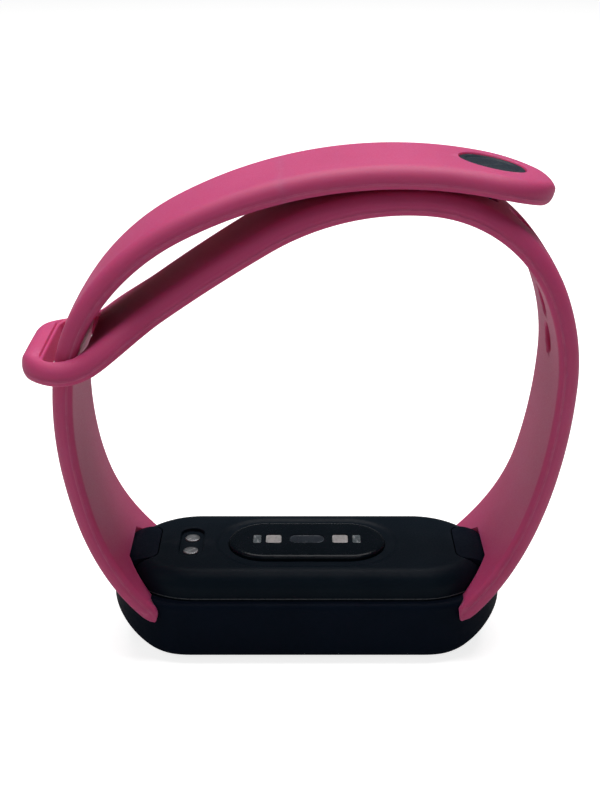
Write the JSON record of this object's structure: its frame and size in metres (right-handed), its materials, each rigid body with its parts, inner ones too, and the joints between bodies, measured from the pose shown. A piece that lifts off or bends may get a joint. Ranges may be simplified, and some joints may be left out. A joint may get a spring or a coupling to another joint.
{
  "type": "fitness tracker band",
  "caption": "Wrist activity tracker: a pill-shaped sensing capsule in a snap-in holder, on a two-piece elastomer band closed by a stud through an end loop.",
  "frame": {"origin": "middle of the flat of the display glass, which the band stands on", "axes": "+X along the capsule towards the strap with the adjustment holes, +Y across the band, +Z from the glass through the back towards the wrist"},
  "size_m": [0.0672, 0.021, 0.0634],
  "materials": {
    "band_elastomer": "soft matte pink elastomer",
    "holder_plastic": "fine matte dark navy moulding",
    "cover_plastic": "satin dark navy moulding",
    "case_plastic": "satin black moulding",
    "front_glass": "polished black-backed glass",
    "lens_gloss": "polished black lens",
    "window_dark": "smoked clear window",
    "window_light": "pale clear window",
    "window_grey": "grey clear window",
    "contact_steel": "fine satin steel",
    "stud_grey": "satin dark grey",
    "display_glass": "unlit display panel",
    "clear_adhesive": "clear adhesive film",
    "seal_rubber": "soft black seal",
    "frame_plastic": "matte black moulding",
    "circuit_board": "green solder mask",
    "flex_circuit": "amber polyimide film",
    "battery_foil": "dull aluminised pouch",
    "tape_white": "white foam tape",
    "chip_black": "matte black package",
    "shield_tin": "tinned steel",
    "led_body": "pale green emitter body",
    "magnet_dark": "sintered magnet",
    "weight_tungsten": "sintered heavy metal"
  },
  "bodies": {
    "holder": {"holder_frame": "holder_plastic", "loop_strap": "band_elastomer", "stud_strap_base": "band_elastomer"},
    "tracker": {"front_glass": "front_glass", "optical_adhesive": "clear_adhesive", "display_panel": "display_glass", "display_flex": "flex_circuit", "front_case": "case_plastic", "case_seal": "seal_rubber", "back_cover": "cover_plastic", "sensor_lens": "lens_gloss", "led_window": "window_dark", "photodiode_windows": "window_light", "side_windows": "window_grey", "light_barrier": "seal_rubber", "sensor_board": "circuit_board", "sensor_leds": "led_body", "photodiodes": "chip_black", "sensor_flex": "flex_circuit", "contact_pins": "contact_steel", "contact_board": "circuit_board", "contact_flex": "flex_circuit", "inner_frame": "frame_plastic", "battery": "battery_foil", "battery_tape": "tape_white", "main_board": "circuit_board", "board_chips": "chip_black", "shield_can": "shield_tin", "antenna_strip": "flex_circuit", "motor_can": "shield_tin", "motor_base": "shield_tin", "motor_magnet": "magnet_dark", "motor_shaft": "contact_steel"},
    "band_fold": {"stud_strap_mid": "band_elastomer"},
    "band_tip": {"stud_strap_tip": "band_elastomer", "stud_cap": "stud_grey", "stud_button": "stud_grey"},
    "motor_rotor": {"motor_weight": "weight_tungsten"}
  },
  "joints": [
    {"name": "capsule_push_out", "type": "slide", "parent": "holder", "child": "tracker", "axis": [0, 0, -1], "range_m": [0, 0.014]},
    {"name": "tail_bend", "type": "hinge", "parent": "holder", "child": "band_fold", "pos_m": [-0.01441, 0, 0.05617], "axis": [0, -1, 0], "range_deg": [0, 12]},
    {"name": "tip_peel", "type": "hinge", "parent": "band_fold", "child": "band_tip", "pos_m": [0.00931, 0, 0.06198], "axis": [0, -1, 0], "range_deg": [0, 40]},
    {"name": "motor_spin", "type": "hinge", "parent": "tracker", "child": "motor_rotor", "pos_m": [0.018, 0, 0.0065], "axis": [0, 0, 1], "continuous": true}
  ],
  "couplings": [
    {"joint": "tail_bend", "follows": "tip_peel", "ratio": 0.3}
  ]
}
